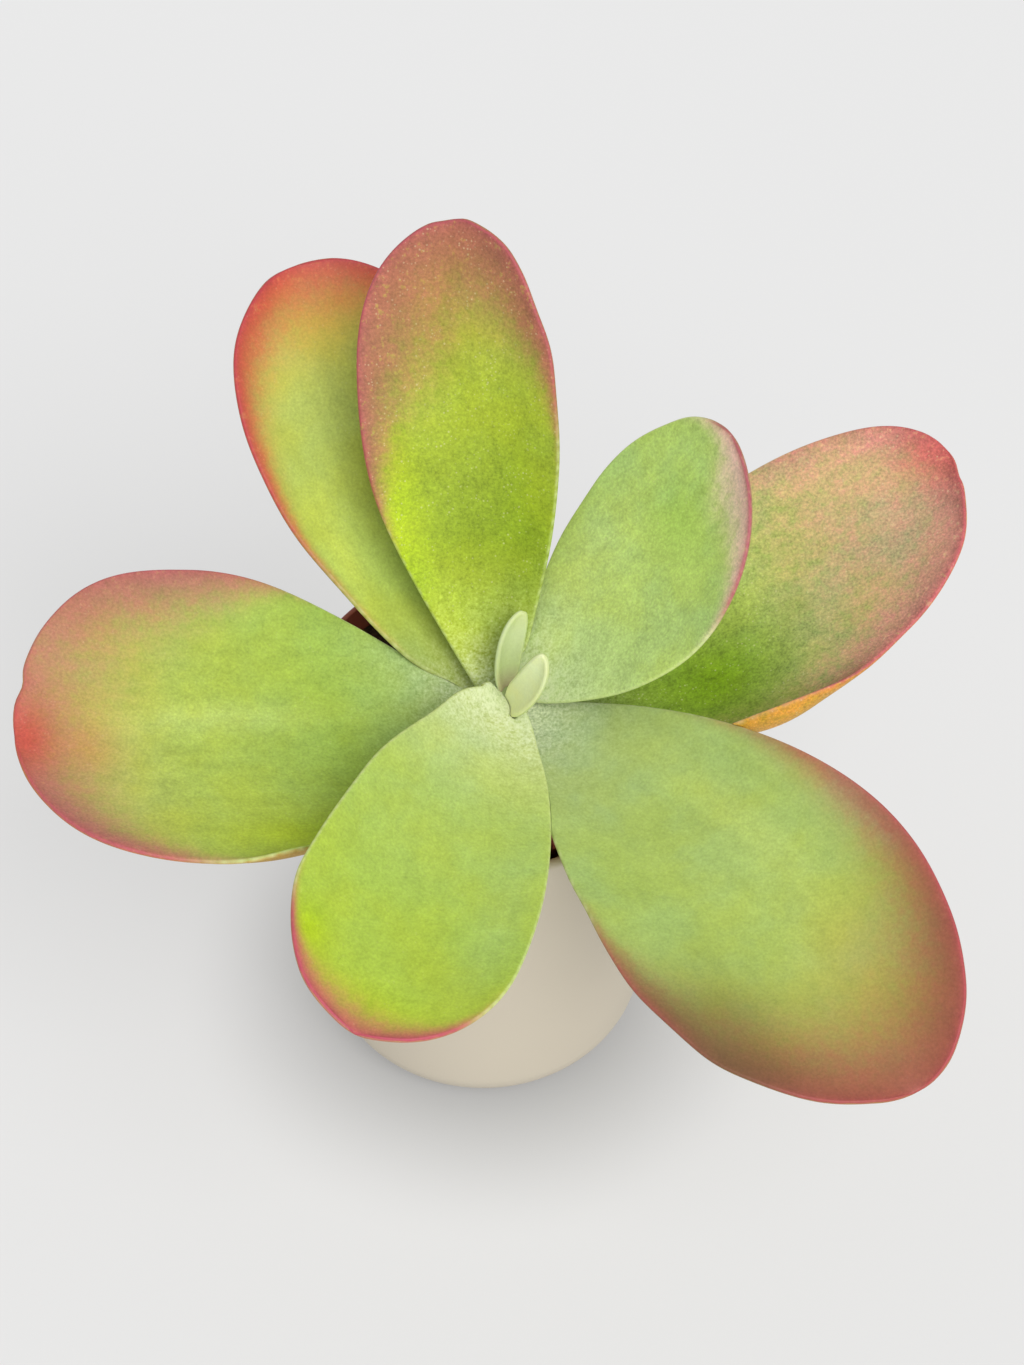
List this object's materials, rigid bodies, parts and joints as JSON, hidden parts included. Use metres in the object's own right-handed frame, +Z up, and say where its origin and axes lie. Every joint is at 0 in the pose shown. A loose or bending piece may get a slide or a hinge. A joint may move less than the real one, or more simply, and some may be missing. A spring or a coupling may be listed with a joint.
{
  "type": "paddle plant in a cover pot",
  "caption": "Paddle plant succulent with broad upturned fleshy leaves on a short stem, in a nursery pot of soil set inside a plain tapered cover pot.",
  "frame": {"origin": "centre of the cover pot's flat underside", "axes": "+Z up along the pots' axis, -Y towards the side that the lowest front leaf grows to, +X to the right seen from there"},
  "size_m": [0.3012, 0.2677, 0.2975],
  "materials": {
    "cream_ceramic": "matte glazed ceramic, plain cream",
    "terracotta_plastic": "moulded plastic, brick red",
    "potting_mix": "loose dark potting mix",
    "stem_skin": "fleshy green stem with brown leaf scars",
    "leaf_skin": "waxy fleshy leaf, yellow-green with a red blush towards its edge and a powdery bloom at its base",
    "young_leaf_skin": "powdery grey-green young leaf"
  },
  "bodies": {
    "root": {"cover_pot": "cream_ceramic", "nursery_pot": "terracotta_plastic", "soil": "potting_mix", "stem": "stem_skin", "leaf_back_left": "leaf_skin", "leaf_right_far": "leaf_skin", "leaf_left": "leaf_skin", "leaf_back": "leaf_skin", "leaf_right_front": "leaf_skin", "leaf_front": "leaf_skin", "leaf_right_upper": "leaf_skin", "young_leaf_back": "young_leaf_skin", "young_leaf_front": "young_leaf_skin"}
  },
  "joints": []
}
